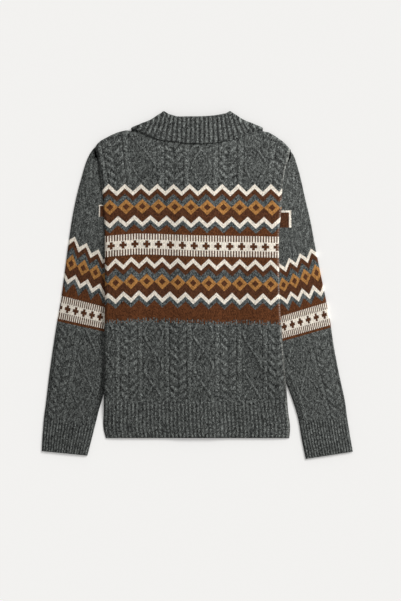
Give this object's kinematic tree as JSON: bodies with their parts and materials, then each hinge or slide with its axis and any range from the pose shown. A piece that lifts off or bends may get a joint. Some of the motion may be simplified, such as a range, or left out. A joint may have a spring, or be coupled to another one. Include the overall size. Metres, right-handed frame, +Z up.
{
  "type": "polo collar cardigan",
  "caption": "Long-sleeved knitted cardigan with a folded rib collar, laid flat on its fronts to show a cabled and patterned back.",
  "frame": {"origin": "centre of the bounding box, on the surface that the cardigan lies on", "axes": "+Z up from that surface and out of the back, +Y from the cuffs and hem towards the collar, +X towards the wearer's right sleeve"},
  "size_m": [0.6066, 0.6761, 0.0138],
  "materials": {
    "back_knit": "wool cable knit with a stranded pattern",
    "front_left_knit": "wool cable knit with a stranded pattern",
    "front_right_knit": "wool cable knit with a stranded pattern",
    "sleeve_left_knit": "wool cable knit with a stranded pattern",
    "sleeve_right_knit": "wool cable knit with a stranded pattern",
    "collar_rib": "ribbed wool knit",
    "button_band_left_rib": "ribbed wool knit",
    "button_band_right_rib": "ribbed wool knit",
    "button_horn": "dark horn-like plastic"
  },
  "bodies": {
    "root": {"back": "back_knit", "front_left": "front_left_knit", "front_right": "front_right_knit", "sleeve_left": "sleeve_left_knit", "sleeve_right": "sleeve_right_knit", "collar": "collar_rib", "button_band_left": "button_band_left_rib", "button_band_right": "button_band_right_rib", "button_1": "button_horn", "button_2": "button_horn", "button_3": "button_horn", "button_4": "button_horn", "button_5": "button_horn", "button_6": "button_horn"}
  },
  "joints": []
}
